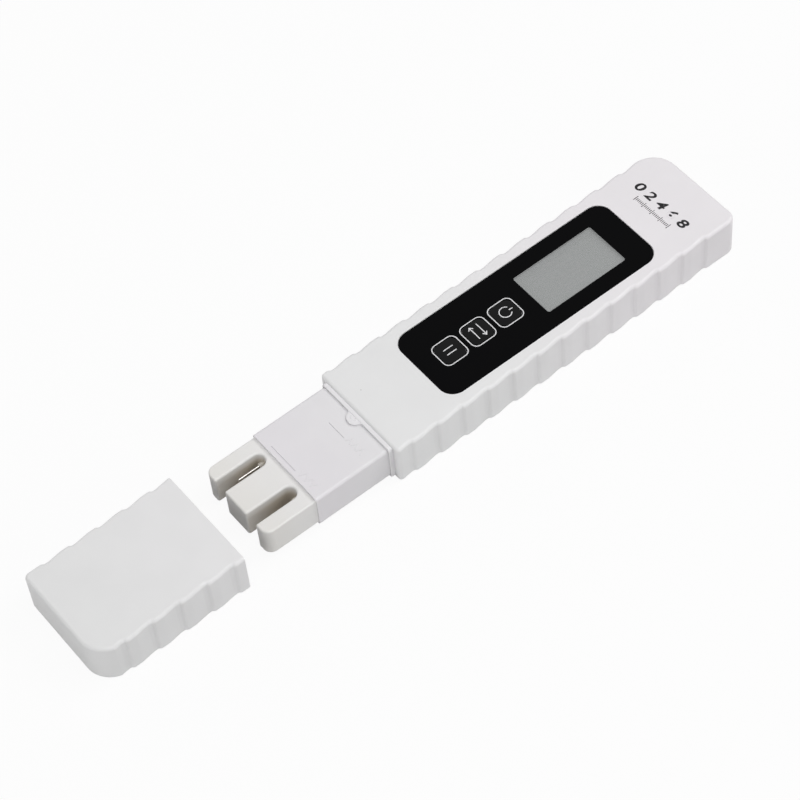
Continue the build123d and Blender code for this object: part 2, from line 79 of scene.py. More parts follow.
class NodeTree:
    """A thin layer over a shader node tree, so that a material reads top to bottom."""

    def __init__(self, tree: bpy.types.NodeTree) -> None:
        """Keeps the tree.

        Args:
            tree: the node tree of a material, a world or a group.
        """
        self.tree = tree

    def add(self, kind: str, inputs: Optional[dict] = None, **settings: object) -> bpy.types.Node:
        """Adds a node.

        Args:
            kind: the node's type name.
            inputs: socket name or number to a constant or to another node's output.
            settings: the node's own properties.

        Returns:
            The new node.
        """
        node = self.tree.nodes.new(kind)
        for name, value in settings.items():
            setattr(node, name, value)
        for name, value in (inputs or {}).items():
            self.feed(node.inputs[name], value)
        return node

    def feed(self, socket: bpy.types.NodeSocket, value: object) -> None:
        """Links an output to a socket, or sets the socket to a constant.

        Args:
            socket: the input socket.
            value: an output socket, a number, or a tuple.
        """
        if isinstance(value, bpy.types.NodeSocket):
            self.tree.links.new(value, socket)
        else:
            socket.default_value = value

    def noise(self, where: bpy.types.NodeSocket, scale: object, detail: float) -> bpy.types.NodeSocket:
        """Adds noise.

        Args:
            where: the coordinates.
            scale: waves per metre.
            detail: octaves.

        Returns:
            The noise value's output.
        """
        node = self.add("ShaderNodeTexNoise", {"Vector": where, "Scale": scale, "Detail": detail})
        return node.outputs["Fac"]

    def math(self, operation: str, *values: object, clamp: bool = False) -> bpy.types.NodeSocket:
        """Adds a Math node.

        Args:
            operation: the node's operation.
            values: its inputs, constants or outputs.
            clamp: whether the result is kept between 0 and 1.

        Returns:
            Its output.
        """
        node = self.add("ShaderNodeMath", dict(enumerate(values)), operation=operation, use_clamp=clamp)
        return node.outputs[0]

    def ramp(
        self, value: object, low: object, high: object, to_low: object = 0.0, to_high: object = 1.0
    ) -> bpy.types.NodeSocket:
        """Maps a value from one range to another, clamped.

        Args:
            value: the value to map.
            low: where the range starts.
            high: where the range ends.
            to_low: the result at low.
            to_high: the result at high.

        Returns:
            The mapped value's output.
        """
        node = self.add(
            "ShaderNodeMapRange",
            {"Value": value, "From Min": low, "From Max": high, "To Min": to_low, "To Max": to_high},
            interpolation_type="SMOOTHSTEP",
        )
        return node.outputs["Result"]

    def mix(self, share: object, first: object, second: object) -> bpy.types.NodeSocket:
        """Mixes two colours.

        Args:
            share: how much of the second, 0 to 1.
            first: a colour or an output.
            second: a colour or an output.

        Returns:
            The mixed colour's output.
        """
        node = self.add("ShaderNodeMix", data_type="RGBA")
        for number, value in ((0, share), (6, first), (7, second)):
            self.feed(node.inputs[number], rgba(value))
        return node.outputs[2]


def rgba(value: object) -> object:
    """Adds an alpha of 1 to a colour of three numbers.

    Args:
        value: a colour, or anything else, which is passed through.

    Returns:
        The value, with four numbers where it had three.
    """
    if isinstance(value, tuple) and len(value) == 3:
        return (*value, 1.0)
    return value


class ShaderGroup:
    """An effect that several materials share, built once as a node group."""

    name = "group"
    inputs: dict[str, tuple[str, object]] = {}
    outputs: dict[str, str] = {}

    def wire(self, tree: NodeTree, given: bpy.types.Node, result: bpy.types.Node) -> None:
        """Fills the group. Each effect has its own.

        Args:
            tree: the group's tree.
            given: the group's input node.
            result: the group's output node.
        """
        raise NotImplementedError

    def tree(self) -> bpy.types.NodeTree:
        """Finds the group, or builds it on first use.

        Returns:
            The group's node tree.
        """
        found = bpy.data.node_groups.get(self.name)
        if found:
            return found
        made = bpy.data.node_groups.new(self.name, "ShaderNodeTree")
        for label, (kind, default) in self.inputs.items():
            socket = made.interface.new_socket(label, in_out="INPUT", socket_type=kind)
            if default is not None:
                socket.default_value = default
        for label, kind in self.outputs.items():
            made.interface.new_socket(label, in_out="OUTPUT", socket_type=kind)
        given = made.nodes.new("NodeGroupInput")
        result = made.nodes.new("NodeGroupOutput")
        self.wire(NodeTree(made), given, result)
        return made

    def place(self, tree: NodeTree, **values: object) -> bpy.types.Node:
        """Places the group in a material.

        Args:
            tree: the material's tree.
            values: socket names, with _ for a blank, to constants or outputs.

        Returns:
            The group node.
        """
        node = tree.tree.nodes.new("ShaderNodeGroup")
        node.node_tree = self.tree()
        for label, value in values.items():
            tree.feed(node.inputs[label.replace("_", " ")], rgba(value))
        return node


class MouldGrain(ShaderGroup):
    """The fine spark-eroded grain of a moulded face, with a faint waviness under it."""

    name = "mould_grain"
    inputs = {
        "Grain Scale": ("NodeSocketFloat", 9000.0),
        "Wave Scale": ("NodeSocketFloat", 160.0),
        "Wave Share": ("NodeSocketFloat", 0.5),
    }
    outputs = {"Height": "NodeSocketFloat"}

    def wire(self, tree: NodeTree, given: bpy.types.Node, result: bpy.types.Node) -> None:
        """Adds fine noise to long waves."""
        where = tree.add("ShaderNodeTexCoord").outputs["Object"]
        fine = tree.noise(where, given.outputs["Grain Scale"], 2.0)
        wave = tree.noise(where, given.outputs["Wave Scale"], 1.0)
        height = tree.math("MULTIPLY_ADD", wave, given.outputs["Wave Share"], fine)
        tree.feed(result.inputs["Height"], height)


class ToneDrift(ShaderGroup):
    """A slow change of colour along a moulding, with blotches too faint to name."""

    name = "tone_drift"
    inputs = {
        "Tone": ("NodeSocketColor", (0.8, 0.8, 0.8, 1.0)),
        "Far Tone": ("NodeSocketColor", (0.8, 0.8, 0.8, 1.0)),
        "Start": ("NodeSocketFloat", 0.0),
        "End": ("NodeSocketFloat", 0.1),
        "Blotch": ("NodeSocketFloat", 0.02),
    }
    outputs = {"Color": "NodeSocketColor"}
    blotch_scale = 90.0
    blotch_range = (0.3, 0.7)

    def wire(self, tree: NodeTree, given: bpy.types.Node, result: bpy.types.Node) -> None:
        """Mixes two tones along Y and darkens soft blotches."""
        where = tree.add("ShaderNodeTexCoord").outputs["Object"]
        along = tree.add("ShaderNodeSeparateXYZ", {0: where}).outputs["Y"]
        share = tree.ramp(along, given.outputs["Start"], given.outputs["End"])
        tone = tree.mix(share, given.outputs["Tone"], given.outputs["Far Tone"])
        blotch = tree.ramp(tree.noise(where, self.blotch_scale, 4.0), *self.blotch_range)
        keep = tree.math("MULTIPLY_ADD", blotch, tree.math("MULTIPLY", given.outputs["Blotch"], -1.0), 1.0)
        shade = tree.add("ShaderNodeVectorMath", {0: tone, 1: keep}, operation="MULTIPLY")
        tree.feed(result.inputs["Color"], shade.outputs[0])


class Smudge(ShaderGroup):
    """Uneven gloss where hands have been: a roughness with smears."""

    name = "smudge"
    inputs = {
        "Roughness": ("NodeSocketFloat", 0.4),
        "Spread": ("NodeSocketFloat", 0.1),
        "Scale": ("NodeSocketFloat", 220.0),
    }
    outputs = {"Roughness": "NodeSocketFloat"}
    stretch = (1.0, 0.35, 1.0)

    def wire(self, tree: NodeTree, given: bpy.types.Node, result: bpy.types.Node) -> None:
        """Adds a stretched smear noise to the roughness."""
        where = tree.add("ShaderNodeTexCoord").outputs["Object"]
        stretched = tree.add("ShaderNodeMapping", {"Vector": where, "Scale": self.stretch})
        smear = tree.noise(stretched.outputs[0], given.outputs["Scale"], 5.0)
        change = tree.math("MULTIPLY", tree.math("SUBTRACT", smear, 0.5), given.outputs["Spread"])
        uneven = tree.math("ADD", given.outputs["Roughness"], change, clamp=True)
        tree.feed(result.inputs["Roughness"], uneven)


class EdgeRub(ShaderGroup):
    """A mask of outward edges, broken up, where a finish is rubbed smooth."""

    name = "edge_rub"
    inputs = {
        "Radius": ("NodeSocketFloat", 0.0004),
        "Gain": ("NodeSocketFloat", 4.0),
    }
    outputs = {"Mask": "NodeSocketFloat"}
    break_scale = 700.0
    break_range = (0.25, 0.6)
    least_rub = 0.4

    def wire(self, tree: NodeTree, given: bpy.types.Node, result: bpy.types.Node) -> None:
        """Compares the surface normal with a rounded one."""
        where = tree.add("ShaderNodeTexCoord").outputs["Object"]
        rounded = tree.add("ShaderNodeBevel", {"Radius": given.outputs["Radius"]}, samples=4)
        plain = tree.add("ShaderNodeNewGeometry").outputs["Normal"]
        same = tree.add("ShaderNodeVectorMath", {0: rounded.outputs[0], 1: plain}, operation="DOT_PRODUCT")
        edge = tree.math("MULTIPLY", tree.math("SUBTRACT", 1.0, same.outputs["Value"]), given.outputs["Gain"])
        patches = tree.noise(where, self.break_scale, 4.0)
        broken = tree.ramp(patches, *self.break_range, self.least_rub, 1.0)
        tree.feed(result.inputs["Mask"], tree.math("MULTIPLY", edge, broken, clamp=True))


@dataclass(frozen=True)
class Finish:
    """What every finish has: a name and a way to build its material once."""

    name: str

    def material(self) -> bpy.types.Material:
        """Finds the material, or builds it on first use.

        Returns:
            The material.
        """
        found = bpy.data.materials.get(self.name)
        if found:
            return found
        made = bpy.data.materials.new(self.name)
        made.use_nodes = True
        tree = NodeTree(made.node_tree)
        made.node_tree.nodes.clear()
        shader = tree.add("ShaderNodeBsdfPrincipled")
        output = tree.add("ShaderNodeOutputMaterial")
        tree.feed(output.inputs["Surface"], shader.outputs[0])
        self.dress(tree, shader)
        return made

    def dress(self, tree: NodeTree, shader: bpy.types.Node) -> None:
        """Feeds the shader. Each finish has its own.

        Args:
            tree: the material's tree.
            shader: its Principled BSDF.
        """
        raise NotImplementedError

    def bump(
        self, tree: NodeTree, shader: bpy.types.Node, height: bpy.types.NodeSocket, depth: float
    ) -> None:
        """Adds a bump to the shader's normal.

        Args:
            tree: the material's tree.
            shader: its Principled BSDF.
            height: the height's output.
            depth: the bump's distance in metres.
        """
        node = tree.add("ShaderNodeBump", {"Height": height, "Distance": depth, "Strength": 1.0})
        tree.feed(shader.inputs["Normal"], node.outputs[0])


@dataclass(frozen=True)
class MouldedPlastic(Finish):
    """Satin white plastic out of a lightly textured mould."""

    tone: Colour
    far_tone: Colour
    start: float
    end: float
    roughness: float = 0.42
    blotch: float = 0.02
    smear: float = 0.14
    smear_scale: float = 220.0
    rub_radius: float = 0.0004
    rub_gain: float = 4.0
    rub_gloss: float = 0.12
    grain_scale: float = 9000.0
    grain_depth: float = 0.000004
    wave_scale: float = 160.0
    wave_share: float = 0.5

    def colour(self, tree: NodeTree) -> bpy.types.NodeSocket:
        """The colour before any extra marks.

        Args:
            tree: the material's tree.

        Returns:
            The colour's output.
        """
        drift = ToneDrift().place(
            tree, Tone=self.tone, Far_Tone=self.far_tone, Start=self.start, End=self.end, Blotch=self.blotch
        )
        return drift.outputs["Color"]

    def dress(self, tree: NodeTree, shader: bpy.types.Node) -> None:
        """Feeds colour, gloss and grain."""
        smudge = Smudge().place(tree, Roughness=self.roughness, Spread=self.smear, Scale=self.smear_scale)
        rub = EdgeRub().place(tree, Radius=self.rub_radius, Gain=self.rub_gain)
        polished = tree.math(
            "MULTIPLY_ADD", rub.outputs["Mask"], -self.rub_gloss, smudge.outputs["Roughness"], clamp=True
        )
        tree.feed(shader.inputs["Base Color"], self.colour(tree))
        tree.feed(shader.inputs["Roughness"], polished)
        grain = MouldGrain().place(
            tree, Grain_Scale=self.grain_scale, Wave_Scale=self.wave_scale, Wave_Share=self.wave_share
        )
        self.bump(tree, shader, grain.outputs["Height"], self.grain_depth)


@dataclass(frozen=True)
class SpeckledPlastic(MouldedPlastic):
    """The same plastic with one dark speck moulded in, as the real case has."""

    speck: Point = (0.0, 0.0)
    speck_radius: float = 0.00014
    speck_core: float = 0.4
    speck_tone: Colour = (0.16, 0.15, 0.15)

    def colour(self, tree: NodeTree) -> bpy.types.NodeSocket:
        """Mixes the speck into the plain colour."""
        plain = super().colour(tree)
        where = tree.add("ShaderNodeTexCoord").outputs["Object"]
        flat = tree.add("ShaderNodeVectorMath", {0: where, 1: (1.0, 1.0, 0.0)}, operation="MULTIPLY")
        away = tree.add(
            "ShaderNodeVectorMath", {0: flat.outputs[0], 1: (*self.speck, 0.0)}, operation="DISTANCE"
        )
        mask = tree.ramp(away.outputs["Value"], self.speck_radius, self.speck_radius * self.speck_core)
        return tree.mix(mask, plain, self.speck_tone)


@dataclass(frozen=True)
class SlotShadedPlastic(MouldedPlastic):
    """The tip's plastic: white outside, with a tan painted shade down inside its two slots."""

    slot_shade_tone: Colour = (0.54, 0.47, 0.37)
    slot_spread: float = 0.00605
    slot_half: float = 0.00205
    slot_edge: float = 0.9
    slot_end: float = -0.0232
    end_margin: float = 0.0002
    top: float = 0.0107
    lip: float = 0.0003
    fade: float = 0.0035
    deepest_shade: float = 0.85
    mouth: float = 0.0125
    mouth_fade: float = 0.004
    mouth_share: float = 0.35

    def colour(self, tree: NodeTree) -> bpy.types.NodeSocket:
        """Mixes a tan painted shade into the slots, stronger with depth and fainter towards their open ends.
        """
        plain = super().colour(tree)
        where = tree.add("ShaderNodeTexCoord").outputs["Object"]
        split = tree.add("ShaderNodeSeparateXYZ", {0: where})
        from_slot = tree.math("SUBTRACT", tree.math("ABSOLUTE", split.outputs["X"]), self.slot_spread)
        aside = tree.math("ABSOLUTE", from_slot)
        # Painted shade: the slots' walls darken to tan, more deeply further down and further in from the
        # tip's end.
        inside = tree.ramp(aside, self.slot_half, self.slot_half * self.slot_edge)
        depth = tree.ramp(split.outputs["Z"], self.top - self.lip, self.top - self.fade, 0.0, self.deepest_shade)
        mouth, inner = self.slot_end - self.mouth, self.slot_end - self.mouth_fade
        along = tree.ramp(split.outputs["Y"], mouth, inner, self.mouth_share, 1.0)
        before = tree.ramp(split.outputs["Y"], self.slot_end + self.end_margin, self.slot_end)
        section = tree.math("MULTIPLY", inside, depth)
        mask = tree.math("MULTIPLY", section, tree.math("MULTIPLY", along, before))
        return tree.mix(mask, plain, self.slot_shade_tone)


@dataclass(frozen=True)
class GlossFilm(Finish):
    """Black printed film with a hard gloss, faint orange peel and a little lint."""

    tone: Colour = (0.0015, 0.0015, 0.0018)
    roughness: float = 0.16
    specular: float = 0.12
    lint: float = 0.5
    lint_tone: Colour = (0.12, 0.12, 0.12)
    lint_scale: float = 420.0
    lint_chance: Range = (0.93, 0.97)
    lint_size: Range = (0.035, 0.02)
    smear: float = 0.08
    smear_scale: float = 160.0
    peel_scale: float = 1600.0
    peel_depth: float = 0.000003
    wave_scale: float = 250.0
    wave_share: float = 0.6

    def dress(self, tree: NodeTree, shader: bpy.types.Node) -> None:
        """Feeds colour with lint, gloss and orange peel."""
        where = tree.add("ShaderNodeTexCoord").outputs["Object"]
        specks = tree.add(
            "ShaderNodeTexVoronoi", {"Vector": where, "Scale": self.lint_scale, "Randomness": 1.0}
        )
        picked = tree.ramp(specks.outputs["Color"], *self.lint_chance)
        dot = tree.ramp(specks.outputs["Distance"], *self.lint_size)
        mask = tree.math("MULTIPLY", tree.math("MULTIPLY", dot, picked), self.lint)
        tree.feed(shader.inputs["Base Color"], tree.mix(mask, self.tone, self.lint_tone))
        smudge = Smudge().place(tree, Roughness=self.roughness, Spread=self.smear, Scale=self.smear_scale)
        tree.feed(shader.inputs["Roughness"], smudge.outputs["Roughness"])
        shader.inputs["Specular IOR Level"].default_value = self.specular
        peel = MouldGrain().place(
            tree, Grain_Scale=self.peel_scale, Wave_Scale=self.wave_scale, Wave_Share=self.wave_share
        )
        self.bump(tree, shader, peel.outputs["Height"], self.peel_depth)


@dataclass(frozen=True)
class ClearPane(Finish):
    """Clear moulded plastic with faint smears."""

    tint: Colour = (0.93, 0.96, 0.94)
    roughness: float = 0.02
    ior: float = 1.46
    smear: float = 0.03
    smear_scale: float = 300.0

    def dress(self, tree: NodeTree, shader: bpy.types.Node) -> None:
        """Feeds the clear shader, whose smears are in its roughness."""
        shader.inputs["Base Color"].default_value = rgba(self.tint)
        shader.inputs["Transmission Weight"].default_value = 1.0
        shader.inputs["IOR"].default_value = self.ior
        smudge = Smudge().place(tree, Roughness=self.roughness, Spread=self.smear, Scale=self.smear_scale)
        tree.feed(shader.inputs["Roughness"], smudge.outputs["Roughness"])


@dataclass(frozen=True)
class DisplayGlass(Finish):
    """The display's grey-green ground, with a soft polariser pattern and a painted shadow along its left and
    far rims.
    """

    left: float
    far: float
    tone: Colour = (0.024, 0.033, 0.026)
    rim_shadow_tone: Colour = (0.006, 0.009, 0.007)
    rim: float = 0.0026
    mottle_scale: float = 260.0
    mottle_range: Range = (0.2, 0.8)
    mottle_least: float = 0.93
    roughness: float = 0.5
    specular: float = 0.05
    smear: float = 0.1
    smear_scale: float = 250.0
    grain_scale: float = 5000.0
    grain_depth: float = 0.000002
    wave_scale: float = 400.0
    wave_share: float = 0.2

    def dress(self, tree: NodeTree, shader: bpy.types.Node) -> None:
        """Feeds a ground with a painted shadow towards the sides away from the reader."""
        where = tree.add("ShaderNodeTexCoord").outputs["Object"]
        split = tree.add("ShaderNodeSeparateXYZ", {0: where})
        # Painted shadow: the ground darkens to the rim shadow tone along its left and far edges, where the
        # recess under the pane shades it.
        left = tree.ramp(split.outputs["X"], self.left, self.left + self.rim)
        far = tree.ramp(split.outputs["Y"], self.far, self.far - self.rim)
        patches = tree.noise(where, self.mottle_scale, 3.0)
        mottle = tree.ramp(patches, *self.mottle_range, self.mottle_least, 1.0)
        light = tree.math("MULTIPLY", tree.math("MULTIPLY", left, far), mottle)
        tree.feed(shader.inputs["Base Color"], tree.mix(light, self.rim_shadow_tone, self.tone))
        smudge = Smudge().place(tree, Roughness=self.roughness, Spread=self.smear, Scale=self.smear_scale)
        tree.feed(shader.inputs["Roughness"], smudge.outputs["Roughness"])
        shader.inputs["Specular IOR Level"].default_value = self.specular
        grain = MouldGrain().place(
            tree, Grain_Scale=self.grain_scale, Wave_Scale=self.wave_scale, Wave_Share=self.wave_share
        )
        self.bump(tree, shader, grain.outputs["Height"], self.grain_depth)


@dataclass(frozen=True)
class DrawnMetal(Finish):
    """Plated metal with drawing lines along one direction."""

    tone: Colour = (0.75, 0.73, 0.70)
    roughness: float = 0.16
    stretch: tuple[float, float, float] = (1.0, 0.03, 1.0)
    line_scale: float = 14000.0
    line_depth: float = 0.000002
    dull_scale: float = 900.0
    dull_range: Range = (0.45, 0.75)
    dull_share: float = 0.72
    smear: float = 0.12
    smear_scale: float = 700.0

    def dress(self, tree: NodeTree, shader: bpy.types.Node) -> None:
        """Feeds the metal, its drawing lines and its dull spots."""
        where = tree.add("ShaderNodeTexCoord").outputs["Object"]
        drawn = tree.add("ShaderNodeMapping", {"Vector": where, "Scale": self.stretch})
        lines = tree.noise(drawn.outputs[0], self.line_scale, 3.0)
        dull = tree.ramp(tree.noise(where, self.dull_scale, 4.0), *self.dull_range)
        darker = tuple(part * self.dull_share for part in self.tone)
        tree.feed(shader.inputs["Base Color"], tree.mix(dull, self.tone, darker))
        shader.inputs["Metallic"].default_value = 1.0
        smudge = Smudge().place(tree, Roughness=self.roughness, Spread=self.smear, Scale=self.smear_scale)
        tree.feed(shader.inputs["Roughness"], smudge.outputs["Roughness"])
        self.bump(tree, shader, lines, self.line_depth)


@dataclass(frozen=True)
class PlainStock(Finish):
    """Any even inner material, such as rubber, board lacquer or chip resin."""

    tone: Colour
    far_tone: Colour
    roughness: float
    mottle_scale: float = 500.0
    mottle_range: Range = (0.3, 0.7)
    smear: float = 0.12
    smear_scale: float = 400.0
    grain_scale: float = 6000.0
    grain_depth: float = 0.000006
    wave_scale: float = 300.0
    wave_share: float = 0.3

    def dress(self, tree: NodeTree, shader: bpy.types.Node) -> None:
        """Feeds a mottled colour, gloss and grain."""
        where = tree.add("ShaderNodeTexCoord").outputs["Object"]
        mottle = tree.ramp(tree.noise(where, self.mottle_scale, 4.0), *self.mottle_range)
        tree.feed(shader.inputs["Base Color"], tree.mix(mottle, self.tone, self.far_tone))
        smudge = Smudge().place(tree, Roughness=self.roughness, Spread=self.smear, Scale=self.smear_scale)
        tree.feed(shader.inputs["Roughness"], smudge.outputs["Roughness"])
        grain = MouldGrain().place(
            tree, Grain_Scale=self.grain_scale, Wave_Scale=self.wave_scale, Wave_Share=self.wave_share
        )
        self.bump(tree, shader, grain.outputs["Height"], self.grain_depth)


@dataclass(frozen=True)
class Ink(Finish):
    """Printed ink, a little uneven where it lies thin."""

    tone: Colour
    thin_tone: Colour
    roughness: float = 0.4
    thin_scale: float = 2600.0
    thin_range: Range = (0.5, 0.8)
    smear: float = 0.1
    smear_scale: float = 900.0

    def dress(self, tree: NodeTree, shader: bpy.types.Node) -> None:
        """Feeds the ink's colour with thin spots."""
        where = tree.add("ShaderNodeTexCoord").outputs["Object"]
        thin = tree.ramp(tree.noise(where, self.thin_scale, 3.0), *self.thin_range)
        tree.feed(shader.inputs["Base Color"], tree.mix(thin, self.tone, self.thin_tone))
        smudge = Smudge().place(tree, Roughness=self.roughness, Spread=self.smear, Scale=self.smear_scale)
        tree.feed(shader.inputs["Roughness"], smudge.outputs["Roughness"])


SHELL_WHITE = SpeckledPlastic(
    "shell_white_moulded", (0.76, 0.76, 0.762), (0.775, 0.752, 0.772), 0.02, 0.09, speck=(-0.0049, 0.0046)
)
DOOR_WHITE = MouldedPlastic("door_white_moulded", (0.76, 0.76, 0.762), (0.775, 0.752, 0.772), 0.02, 0.09)
CAP_WHITE = MouldedPlastic("cap_white_moulded", (0.74, 0.74, 0.74), (0.76, 0.755, 0.76), -0.086, -0.045)
NECK_WHITE = MouldedPlastic("neck_white_moulded", (0.74, 0.72, 0.745), (0.74, 0.73, 0.745), -0.02, 0.0, 0.38)
COLLAR_WHITE = MouldedPlastic(
    "collar_white_moulded", (0.76, 0.745, 0.765), (0.76, 0.75, 0.765), -0.02, 0.0, 0.45
)
TIP_WHITE = SlotShadedPlastic("tip_white_slot_shade", (0.76, 0.745, 0.72), (0.77, 0.76, 0.75), -0.036, -0.024, 0.4)
FILM_BLACK = GlossFilm("film_black_gloss")
KEY_BLACK = GlossFilm("key_black_gloss", roughness=0.12, specular=0.5, lint=0.2)
PANE = ClearPane("pane_clear")
INNER_BLACK = PlainStock("inner_black_matt", (0.012, 0.012, 0.012), (0.018, 0.018, 0.018), 0.55)
PIN_METAL = DrawnMetal("pin_bright_drawn")
CONTACT_STEEL = DrawnMetal("contact_plated_steel", (0.62, 0.61, 0.58), 0.26)
CELL_STEEL = DrawnMetal("cell_plated_can", (0.66, 0.66, 0.64), 0.22, (1.0, 1.0, 0.05))
SLEEVE_PALE = PlainStock("sleeve_pale", (0.62, 0.58, 0.50), (0.68, 0.65, 0.60), 0.3)
RUBBER_GREY = PlainStock("rubber_grey", (0.20, 0.20, 0.21), (0.24, 0.24, 0.25), 0.7)
BOARD_GREEN = PlainStock("board_lacquer_green", (0.02, 0.13, 0.05), (0.025, 0.15, 0.06), 0.35)
CHIP_BLACK = PlainStock("chip_resin_black", (0.02, 0.02, 0.02), (0.028, 0.028, 0.028), 0.6)
PLUNGER_CREAM = PlainStock("plunger_cream", (0.66, 0.63, 0.54), (0.70, 0.67, 0.58), 0.4)
WIRE_RED = PlainStock("wire_red_jacket", (0.40, 0.02, 0.02), (0.46, 0.03, 0.03), 0.45)
WIRE_BLACK = PlainStock("wire_black_jacket", (0.018, 0.018, 0.018), (0.026, 0.026, 0.026), 0.45)
BEAD_DARK = PlainStock("bead_epoxy", (0.04, 0.02, 0.02), (0.05, 0.03, 0.025), 0.25)
WHITE_INK = Ink("white_ink", (0.72, 0.72, 0.73), (0.5, 0.5, 0.51))
BLACK_INK = Ink("black_ink", (0.012, 0.011, 0.013), (0.03, 0.028, 0.03))
SEGMENT_INK = Ink("segment_shade", (0.006, 0.009, 0.007), (0.008, 0.012, 0.009))


def dress_node(name: str, finish: Finish) -> None:
    """Gives a CAD node its finish, without touching its shape.

    Args:
        name: the node.
        finish: its finish.
    """
    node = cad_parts[name]
    node.data.materials.clear()
    node.data.materials.append(finish.material())
    LOG.info("dressed %s", name)


def new_piece(name: str, mesh: bpy.types.Mesh, finish: Finish, body: Body) -> bpy.types.Object:
    """Makes an object of a finished mesh and lets it ride on its body.

    Args:
        name: the piece's name.
        mesh: its mesh, in the row frame.
        finish: its finish.
        body: the body that it moves with.

    Returns:
        The piece.
    """
    piece = bpy.data.objects.new(name, mesh)
    bpy.context.scene.collection.objects.link(piece)
    mesh.materials.clear()
    mesh.materials.append(finish.material())
    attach(piece, body.value)
    LOG.info("made %s", name)
    return piece


def ribbon_mesh(
    name: str, strokes: Sequence[Stroke], width: float, thickness: float, height: Height
) -> bpy.types.Mesh:
    """Builds flat printed or raised lines that follow a surface.

    Args:
        name: the mesh's name.
        strokes: each a list of points and whether it closes on itself.
        width: the line's width.
        thickness: how far the line stands off the surface.
        height: the surface's height at a point.

    Returns:
        A closed mesh of all the strokes.
    """
    build = bmesh.new()
    for points, closed in strokes:
        count = len(points)
        rows = []
        for number, (x, y) in enumerate(points):
            last = points[number - 1] if number or closed else points[number]
            following = points[(number + 1) % count] if number < count - 1 or closed else points[number]
            before = Vector((x - last[0], y - last[1]))
            after = Vector((following[0] - x, following[1] - y))
            before = before.normalized() if before.length > NO_LENGTH else after.normalized()
            after = after.normalized() if after.length > NO_LENGTH else before
            across = Vector((-(before + after).y, (before + after).x)).normalized()
            spread = width / 2 / max(LEAST_MITRE, across.dot(Vector((-before.y, before.x))))
            row = []
            for side, level in ((1, 1), (-1, 1), (-1, -1), (1, -1)):
                place = Vector((x, y)) + across * spread * side
                row.append(build.verts.new((place.x, place.y, height(place.x, place.y) + level * thickness)))
            rows.append(row)
        pairs = count if closed else count - 1
        for number in range(pairs):
            first, second = rows[number], rows[(number + 1) % count]
            for corner in range(4):
                following = (corner + 1) % 4
                build.faces.new((first[corner], first[following], second[following], second[corner]))
        if not closed:
            build.faces.new(rows[0][::-1])
            build.faces.new(rows[-1])
    bmesh.ops.recalc_face_normals(build, faces=build.faces)
    mesh = bpy.data.meshes.new(name)
    build.to_mesh(mesh)
    build.free()
    return mesh


def arc_points(centre: Point, radius: float, start: float, end: float, steps: int) -> list[Point]:
    """Points along an arc.

    Args:
        centre: its centre.
        radius: its radius.
        start: its first angle in degrees.
        end: its last angle in degrees.
        steps: how many pieces it has.

    Returns:
        The points, both ends included.
    """
    turns = [math.radians(start + (end - start) * step / steps) for step in range(steps + 1)]
    return [(centre[0] + radius * math.cos(turn), centre[1] + radius * math.sin(turn)) for turn in turns]


def rounded_square(centre: Point, size: float, corner: float, steps: int) -> list[Point]:
    """Points round a square with rounded corners.

    Args:
        centre: its centre.
        size: the length of its sides.
        corner: its corner radius.
        steps: pieces for each corner.

    Returns:
        The points, anticlockwise, without repeating the first.
    """
    points: list[Point] = []
    reach = size / 2 - corner
    for number, (across, along) in enumerate(((1, 1), (-1, 1), (-1, -1), (1, -1))):
        middle = (centre[0] + across * reach, centre[1] + along * reach)
        points += arc_points(middle, corner, 90 * number, 90 * number + 90, steps)
    return points


def dense(points: Sequence[Point], step: float) -> list[Point]:
    """Adds points to straight runs, so that a line can follow a curved face.

    Args:
        points: the run's corners.
        step: the longest piece.

    Returns:
        The corners with points between them.
    """
    result: list[Point] = [points[0]]
    for first, second in zip(points, points[1:]):
        pieces = max(1, math.ceil(math.dist(first, second) / step))
        for number in range(1, pieces + 1):
            share = number / pieces
            across = first[0] + (second[0] - first[0]) * share
            along = first[1] + (second[1] - first[1]) * share
            result.append((across, along))
    return result


@dataclass
class Numeral:
    """A slanted seven-segment figure, as a display shows it."""

    value: int
    centre: Point
    width: float
    height: float
    gap: float
    slant: float = 0.12
    segments: dict[int, str] = field(
        default_factory=lambda: {
            0: "abcdef", 1: "bc", 2: "abged", 3: "abgcd", 4: "fgbc",
            5: "afgcd", 6: "afgedc", 7: "abc", 8: "abcdefg", 9: "abcdfg",
        }
    )

    def strokes(self) -> list[Stroke]:
        """The strokes of the figure's lit segments.

        Returns:
            One open stroke for each segment.
        """
        x, y = self.centre
        left, right = x - self.width / 2, x + self.width / 2
        low, high = y - self.height / 2, y + self.height / 2
        ends = {
            "a": ((left, high), (right, high)), "g": ((left, y), (right, y)),
            "d": ((left, low), (right, low)),
            "f": ((left, y), (left, high)), "b": ((right, y), (right, high)),
            "e": ((left, low), (left, y)), "c": ((right, low), (right, y)),
        }
        result = []
        for letter in self.segments[self.value]:
            (x0, y0), (x1, y1) = ends[letter]
            length = math.dist((x0, y0), (x1, y1))
            inset = self.gap / length
            start = (x0 + (x1 - x0) * inset, y0 + (y1 - y0) * inset)
            end = (x1 - (x1 - x0) * inset, y1 - (y1 - y0) * inset)
            leaning = [(across + (along - y) * self.slant, along) for across, along in (start, end)]
            result.append((leaning, False))
        return result


